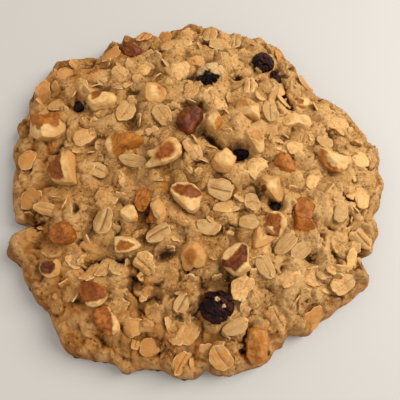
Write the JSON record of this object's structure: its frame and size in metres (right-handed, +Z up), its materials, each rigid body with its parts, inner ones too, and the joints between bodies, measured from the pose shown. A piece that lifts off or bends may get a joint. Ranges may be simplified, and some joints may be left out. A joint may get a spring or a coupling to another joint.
{
  "type": "oatmeal raisin cookie",
  "caption": "Large round oatmeal raisin cookie with a domed, craggy top, rolled oats baked into the dough, and walnut pieces and raisins sitting in it.",
  "frame": {"origin": "Middle of the cookie's outline, on the surface it lies on.", "axes": "+Z up through the top; +X to the right and +Y away from the viewer in the picture, so +X is the longest extent."},
  "size_m": [0.1399, 0.1371, 0.022],
  "materials": {
    "dough": "baked oat dough, matt and grainy, browner at the rim",
    "walnut": "cream cut nut with golden to red-brown skin, slightly glossy",
    "raisin": "near-black wrinkled skin with a soft gloss"
  },
  "bodies": {
    "root": {"cookie": "dough", "walnut_01": "walnut", "walnut_02": "walnut", "walnut_03": "walnut", "walnut_04": "walnut", "walnut_05": "walnut", "walnut_06": "walnut", "walnut_07": "walnut", "walnut_08": "walnut", "walnut_09": "walnut", "walnut_10": "walnut", "walnut_11": "walnut", "walnut_12": "walnut", "walnut_13": "walnut", "walnut_14": "walnut", "walnut_15": "walnut", "walnut_16": "walnut", "walnut_17": "walnut", "walnut_18": "walnut", "walnut_19": "walnut", "walnut_20": "walnut", "walnut_21": "walnut", "walnut_22": "walnut", "walnut_23": "walnut", "walnut_24": "walnut", "walnut_25": "walnut", "walnut_26": "walnut", "walnut_27": "walnut", "walnut_28": "walnut", "walnut_29": "walnut", "walnut_30": "walnut", "walnut_31": "walnut", "walnut_32": "walnut", "walnut_33": "walnut", "raisin_1": "raisin", "raisin_2": "raisin", "raisin_3": "raisin", "raisin_4": "raisin", "raisin_5": "raisin", "raisin_6": "raisin", "raisin_7": "raisin"}
  },
  "joints": []
}
